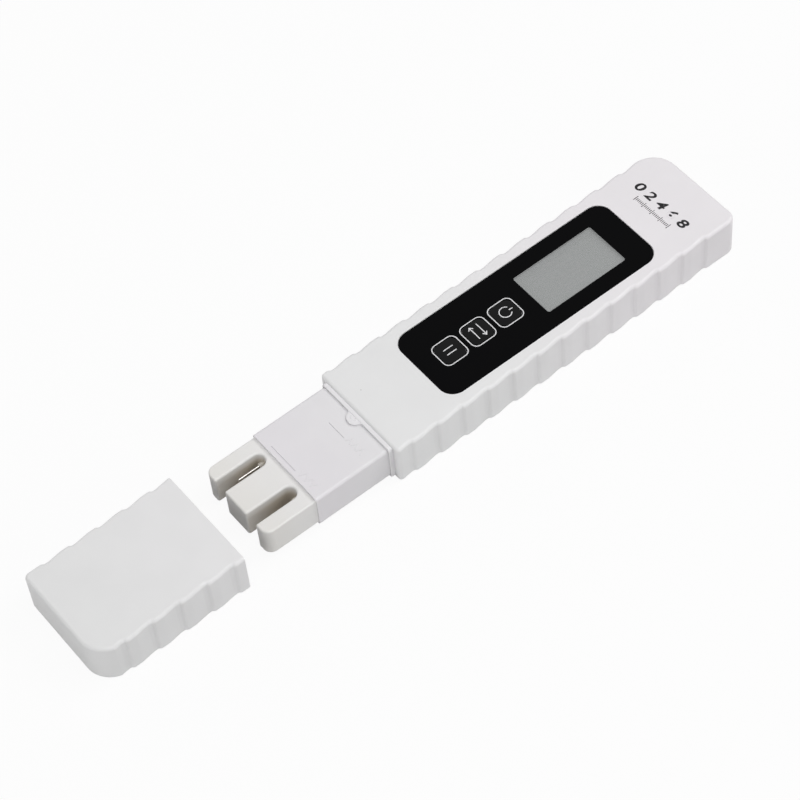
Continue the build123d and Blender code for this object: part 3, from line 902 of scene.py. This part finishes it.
@dataclass
class Case:
    """The scalloped case with its battery door and the print at its closed end."""

    numbers: str = "0 2 4 6 8"
    numbers_height: float = 0.0028
    numbers_width: float = 0.0182
    numbers_middle: float = 0.0950
    numbers_lean: float = 0.15
    numbers_bold: float = 0.025
    ticks_height: float = 0.0017
    ticks_width: float = 0.0120
    ticks_middle: float = 0.09175
    tick_count: int = 25
    tick_group: int = 6
    tick_line: float = 0.00018
    ink: float = 0.00002

    def build(self) -> None:
        """Dresses the case and prints plain numbers and ticks on it."""
        dress_node("body_shell", SHELL_WHITE)
        dress_node("battery_door", DOOR_WHITE)
        self.print_numbers("range_numbers")
        self.print_ticks("range_ticks")

    def print_numbers(self, name: str) -> None:
        """Prints a row of plain numbers.

        Args:
            name: the piece's name.
        """
        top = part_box("body_shell")[1].z
        curve = bpy.data.curves.new(name + "_curve", "FONT")
        curve.body = self.numbers
        curve.extrude = self.ink / 2
        curve.shear = self.numbers_lean
        curve.offset = self.numbers_bold
        source = bpy.data.objects.new(name + "_source", curve)
        bpy.context.scene.collection.objects.link(source)
        bpy.context.view_layer.update()
        mesh = bpy.data.meshes.new_from_object(source.evaluated_get(bpy.context.evaluated_depsgraph_get()))
        bpy.data.objects.remove(source)
        low = Vector([min(vertex.co[axis] for vertex in mesh.vertices) for axis in range(3)])
        high = Vector([max(vertex.co[axis] for vertex in mesh.vertices) for axis in range(3)])
        size, centre = high - low, (low + high) / 2
        grown = (self.numbers_width / size.x, self.numbers_height / size.y, self.ink / max(size.z, NO_LENGTH))
        place = Matrix.Translation((0.0, self.numbers_middle, top + self.ink / 2))
        mesh.transform(place @ Matrix.Diagonal((*grown, 1.0)) @ Matrix.Translation(-centre))
        new_piece(name, mesh, BLACK_INK, Body.METER)

    def print_ticks(self, name: str) -> None:
        """Prints a row of ticks under the numbers, with a longer one at the start of each group.

        Args:
            name: the piece's name.
        """
        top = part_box("body_shell")[1].z
        strokes = []
        for number in range(self.tick_count):
            x = -self.ticks_width / 2 + self.ticks_width * number / (self.tick_count - 1)
            long = number % self.tick_group == 0
            reach = self.ticks_height / (2 if long else 4)
            strokes.append(([(x, self.ticks_middle - reach), (x, self.ticks_middle + reach)], False))
        mesh = ribbon_mesh(name, strokes, self.tick_line, self.ink / 2, lambda x, y: top + self.ink / 2)
        new_piece(name, mesh, BLACK_INK, Body.METER)


@dataclass
class Probe:
    """The neck with its level marks, the collar, the slotted tip and the electrodes."""

    mark_count: int = 3
    mark_left: float = 0.0034
    mark_size: float = 0.0021
    mark_share: float = 0.8
    mark_pitch: float = 0.0020
    mark_line: float = 0.00026
    mark_rise: float = 0.00007
    high_mark: float = 0.0059
    low_mark: float = 0.0200

    def build(self) -> None:
        """Dresses the probe's nodes and raises the marks beside its level lines."""
        for name, finish in (
            ("probe_housing", NECK_WHITE), ("seal_collar", COLLAR_WHITE), ("probe_tip", TIP_WHITE),
            ("electrode_pin_left", PIN_METAL), ("electrode_pin_right", PIN_METAL),
            ("electrode_ferrule_left", SLEEVE_PALE), ("electrode_ferrule_right", SLEEVE_PALE),
            ("electrode_lead_left", WIRE_RED), ("electrode_lead_right", WIRE_BLACK),
            ("thermistor_leads", WIRE_BLACK), ("thermistor_bead", BEAD_DARK),
        ):
            dress_node(name, finish)
        self.level_marks("level_mark_high", self.high_mark, 1)
        self.level_marks("level_mark_low", self.low_mark, -1)

    def level_marks(self, name: str, depth: float, way: int) -> None:
        """Raises a row of small arrowheads beside a level line.

        Args:
            name: the piece's name.
            depth: the marks' distance from the case's open end.
            way: 1 for arrowheads that point at the case, -1 for the other way.
        """
        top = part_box("probe_housing")[1].z
        strokes = []
        reach = self.mark_size / 2 * self.mark_share
        tip, foot = -depth + way * reach, -depth - way * reach
        for number in range(self.mark_count):
            left = self.mark_left + number * self.mark_pitch
            strokes.append(([(left, foot), (left + reach, tip), (left + 2 * reach, foot)], False))
        mesh = ribbon_mesh(name, strokes, self.mark_line, self.mark_rise, lambda x, y: top)
        new_piece(name, mesh, NECK_WHITE, Body.METER)


@dataclass
class PulledCap:
    """The cap that lies in front of the probe."""

    def build(self) -> None:
        """Dresses the cap."""
        dress_node("cap", CAP_WHITE)


@dataclass(frozen=True)
class FigureRow:
    """A row of seven-segment figures."""

    name: str
    values: tuple[int, ...]
    middle: Point
    width: float
    height: float
    pitch: float
    line: float
    gap_share: float = 0.42

    def strokes(self) -> list[Stroke]:
        """The strokes of every figure in the row.

        Returns:
            Open strokes.
        """
        result: list[Stroke] = []
        for number, value in enumerate(self.values):
            place = (self.middle[0] + (number - (len(self.values) - 1) / 2) * self.pitch, self.middle[1])
            result += Numeral(value, place, self.width, self.height, self.line * self.gap_share).strokes()
        return result


@dataclass
class Display:
    """The black film, the clear pane and the display under it."""

    digits: FigureRow = FigureRow(
        "display_digits", (0, 0, 0, 0), middle=(0.0003, 0.0648),
        width=0.0019, height=0.0074, pitch=0.0030, line=0.00068,
    )
    small_digits: FigureRow = FigureRow(
        "display_small_digits", (2, 5), middle=(-0.0036, 0.0578),
        width=0.0010, height=0.0021, pitch=0.0017, line=0.00032,
    )
    frame_rim: float = 0.00215
    lift: float = 0.00001

    def build(self) -> None:
        """Dresses the film and the display and sets its figures."""
        low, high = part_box("lcd_frame")
        ground = DisplayGlass("display_ground_rim_shadow", left=low.x + self.frame_rim, far=high.y - self.frame_rim)
        dress_node("display_label", FILM_BLACK)
        dress_node("display_window", PANE)
        dress_node("lcd_frame", INNER_BLACK)
        dress_node("lcd_glass", ground)
        dress_node("zebra_strip", RUBBER_GREY)
        self.set_figures(self.digits)
        self.set_figures(self.small_digits)

    def set_figures(self, row: FigureRow) -> None:
        """Sets a row of figures on the display glass.

        Args:
            row: the row.
        """
        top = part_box("lcd_glass")[1].z
        mesh = ribbon_mesh(row.name, row.strokes(), row.line, self.lift, lambda x, y: top)
        new_piece(row.name, mesh, SEGMENT_INK, Body.METER)


@dataclass
class Key:
    """One domed key with its printed outline and its sign."""

    name: str
    body: Body
    icon: Icon
    ring_size: float = 0.0071
    ring_corner: float = 0.0016
    ring_steps: int = 10
    ring_line: float = 0.00026
    icon_line: float = 0.00026
    icon_scale: float = 1.3
    icon_step: float = 0.0002
    bar_aside: float = 0.0006
    bar_half: float = 0.0011
    arrow_aside: float = 0.0008
    arrow_half: float = 0.0016
    arrow_head: Point = (0.0006, 0.0005)
    power_radius: float = 0.0012
    power_arc: Range = (125.0, 415.0)
    power_steps: int = 24
    power_stem: Range = (0.0008, 0.0017)
    ink: float = 0.000008
    dome_radius: float = 0.022

    def build(self) -> None:
        """Dresses the key and prints its outline and sign."""
        dress_node(self.name + "_key", KEY_BLACK)
        dress_node(self.name + "_switch", INNER_BLACK)
        dress_node(self.name + "_plunger", PLUNGER_CREAM)
        low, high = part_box(self.name + "_key")
        centre = ((low.x + high.x) / 2, (low.y + high.y) / 2)
        film_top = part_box("display_label")[1].z
        outline = rounded_square(centre, self.ring_size, self.ring_corner, self.ring_steps)
        ring = ribbon_mesh(self.name + "_outline", [(outline, True)], self.ring_line, self.ink,
                           lambda x, y: film_top)
        new_piece(self.name + "_outline", ring, WHITE_INK, Body.METER)

        def dome(x: float, y: float) -> float:
            """Height of the key's dome at a point."""
            away = (x - centre[0]) ** 2 + (y - centre[1]) ** 2
            return high.z - self.dome_radius + math.sqrt(self.dome_radius**2 - away)

        strokes = []
        for points, closed in self.sign():
            grown = [(centre[0] + x * self.icon_scale, centre[1] + y * self.icon_scale) for x, y in points]
            strokes.append((dense(grown, self.icon_step), closed))
        sign = ribbon_mesh(self.name + "_sign", strokes, self.icon_line, self.ink, dome)
        new_piece(self.name + "_sign", sign, WHITE_INK, self.body)

    def sign(self) -> list[Stroke]:
        """The strokes of the key's sign, measured from the key's centre.

        Returns:
            Open strokes.
        """
        if self.icon is Icon.PAUSE:
            sides = (-self.bar_aside, self.bar_aside)
            return [([(side, -self.bar_half), (side, self.bar_half)], False) for side in sides]
        if self.icon is Icon.ARROWS:
            back, rise = self.arrow_head
            strokes: list[Stroke] = []
            for way in (1, -1):
                line, tip = way * self.arrow_aside, way * self.arrow_half
                foot = tip - way * back
                strokes.append(([(-self.arrow_half, line), (self.arrow_half, line)], False))
                strokes.append(([(foot, line + rise), (tip, line), (foot, line - rise)], False))
            return strokes
        low, high = self.power_stem
        return [
            (arc_points((0.0, 0.0), self.power_radius, *self.power_arc, self.power_steps), False),
            ([(0.0, low), (0.0, high)], False),
        ]


@dataclass
class Electronics:
    """The board and what it carries, all inside the case."""

    def build(self) -> None:
        """Dresses the board's nodes."""
        for name, finish in (
            ("circuit_board", BOARD_GREEN), ("meter_chip", CHIP_BLACK), ("chip_resistors", CHIP_BLACK),
            ("crystal", CONTACT_STEEL),
        ):
            dress_node(name, finish)


@dataclass
class Battery:
    """The cells, their holder and their contacts."""

    def build(self) -> None:
        """Dresses the battery's nodes."""
        for name, finish in (
            ("battery_holder", INNER_BLACK), ("button_cells", CELL_STEEL),
            ("battery_contact_plus", CONTACT_STEEL), ("battery_contact_minus", CONTACT_STEEL),
            ("door_contact", CONTACT_STEEL),
        ):
            dress_node(name, finish)


@dataclass
class Lamp:
    """A soft square lamp that points at a place on the object."""

    name: str
    place: tuple[float, float, float]
    target: tuple[float, float, float]
    size: float
    power: float

    def build(self) -> None:
        """Adds the lamp."""
        light = bpy.data.lights.new(self.name, "AREA")
        light.shape = "SQUARE"
        light.size = self.size
        light.energy = self.power
        lamp = bpy.data.objects.new(self.name, light)
        bpy.context.scene.collection.objects.link(lamp)
        lamp.location = self.place
        aim = Vector(self.target) - Vector(self.place)
        lamp.rotation_mode = "QUATERNION"
        lamp.rotation_quaternion = aim.to_track_quat("-Z", "Y")


@dataclass
class Studio:
    """A pale floor, an even sky and soft lamps."""

    floor_size: float = 3.0
    floor_tone: float = 0.70
    floor_drift: float = 0.01
    floor_roughness: float = 0.9
    floor_glow: float = 0.93
    paper_scale: float = 40.0
    paper_range: Range = (0.3, 0.7)
    sky: float = 0.30

    def build(self) -> None:
        """Adds floor, sky and lamps."""
        self.build_floor()
        self.build_sky()
        for lamp in (
            Lamp("key_lamp", (0.30, 0.85, 1.00), (0.0, 0.01, 0.0), 0.7, 8.0),
            Lamp("top_lamp", (0.35, 0.05, 1.30), (0.0, 0.01, 0.0), 0.7, 4.8),
            Lamp("side_lamp", (1.0, -0.10, 0.55), (0.0, 0.01, 0.0), 0.5, 1.6),
            Lamp("front_lamp", (0.10, -1.0, 0.35), (0.0, 0.0, 0.0), 0.5, 2.6),
            Lamp("left_lamp", (-1.0, -0.10, 0.35), (0.0, 0.01, 0.0), 0.5, 1.6),
        ):
            lamp.build()
            LOG.info("lit %s", lamp.name)

    def build_floor(self) -> None:
        """Adds the floor, which the camera sees as nearly white, with a faint shadow."""
        half = self.floor_size / 2
        mesh = bpy.data.meshes.new("studio_floor")
        corners = [(-half, -half, 0.0), (half, -half, 0.0), (half, half, 0.0), (-half, half, 0.0)]
        mesh.from_pydata(corners, [], [(0, 1, 2, 3)])
        floor = bpy.data.objects.new("studio_floor", mesh)
        bpy.context.scene.collection.objects.link(floor)
        material = bpy.data.materials.new("studio_floor_paper")
        material.use_nodes = True
        material.node_tree.nodes.clear()
        tree = NodeTree(material.node_tree)
        where = tree.add("ShaderNodeTexCoord").outputs["Object"]
        fibres = tree.noise(where, self.paper_scale, 3.0)
        darkest = self.floor_tone - self.floor_drift
        paper = tree.ramp(fibres, *self.paper_range, darkest, self.floor_tone)
        shader = tree.add(
            "ShaderNodeBsdfPrincipled", {"Base Color": paper, "Roughness": self.floor_roughness}
        )
        glow = tree.add("ShaderNodeEmission", {"Color": (1.0, 1.0, 1.0, 1.0), "Strength": 1.0})
        path = tree.add("ShaderNodeLightPath")
        seen = tree.math("MULTIPLY", path.outputs["Is Camera Ray"], self.floor_glow)
        both = tree.add("ShaderNodeMixShader", {0: seen, 1: shader.outputs[0], 2: glow.outputs[0]})
        tree.add("ShaderNodeOutputMaterial", {"Surface": both.outputs[0]})
        mesh.materials.append(material)
        LOG.info("laid studio_floor")

    def build_sky(self) -> None:
        """Adds the sky: white to the camera and through clear plastic, grey to the object."""
        world = bpy.data.worlds.new("studio_sky")
        bpy.context.scene.world = world
        world.use_nodes = True
        world.node_tree.nodes.clear()
        tree = NodeTree(world.node_tree)
        path = tree.add("ShaderNodeLightPath")
        seen = tree.math("MAXIMUM", path.outputs["Is Camera Ray"], path.outputs["Is Transmission Ray"])
        plain = tree.add("ShaderNodeBackground", {"Color": (1.0, 1.0, 1.0, 1.0), "Strength": self.sky})
        white = tree.add("ShaderNodeBackground", {"Color": (1.0, 1.0, 1.0, 1.0), "Strength": 1.0})
        both = tree.add("ShaderNodeMixShader", {0: seen, 1: plain.outputs[0], 2: white.outputs[0]})
        tree.add("ShaderNodeOutputWorld", {"Surface": both.outputs[0]})
        LOG.info("set studio_sky")


@dataclass
class PhotoCamera:
    """The camera of the photograph, solved from the edges of the case and the cap."""

    place_mm: tuple[float, float, float] = (329.6, -202.0, 553.1)
    azimuth: float = 57.00
    elevation: float = 54.27
    roll: float = 6.69
    focal_pixels: float = 2823.0
    image_pixels: float = 800.0
    sensor: float = 36.0
    nearest: float = 0.01
    farthest: float = 10.0

    def build(self) -> None:
        """Adds the camera and makes it the scene's."""
        data = bpy.data.cameras.new("photo_camera")
        data.sensor_width = self.sensor
        data.lens = self.focal_pixels * self.sensor / self.image_pixels
        data.clip_start = self.nearest
        data.clip_end = self.farthest
        camera = bpy.data.objects.new("photo_camera", data)
        bpy.context.scene.collection.objects.link(camera)
        turn, lift, roll = (math.radians(angle) for angle in (self.azimuth, self.elevation, self.roll))
        level = Vector((math.cos(turn), math.sin(turn), 0.0))
        back = Vector((math.sin(turn) * math.cos(lift), -math.cos(turn) * math.cos(lift), math.sin(lift)))
        down = -back.cross(level)
        right = level * math.cos(roll) + down * math.sin(roll)
        up = back.cross(right)
        spin = Matrix((right, up, back)).transposed().to_4x4()
        camera.matrix_world = Matrix.Translation(Vector(self.place_mm) * MM) @ spin
        bpy.context.scene.camera = camera
        LOG.info("set photo_camera")


def set_view() -> None:
    """Sets the plain colour view."""
    bpy.context.scene.view_settings.view_transform = "Standard"


def main() -> None:
    """Builds every sub-assembly in order and reports each piece."""
    logging.basicConfig(level=logging.INFO, format="%(message)s")
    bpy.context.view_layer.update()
    set_view()
    PhotoCamera().build()
    Studio().build()
    for part in (
        Case(), Probe(), PulledCap(), Display(),
        Key("hold", Body.HOLD, Icon.PAUSE), Key("shift", Body.SHIFT, Icon.ARROWS),
        Key("power", Body.POWER, Icon.POWER), Electronics(), Battery(),
    ):
        part.build()


if __name__ == "__main__":
    main()
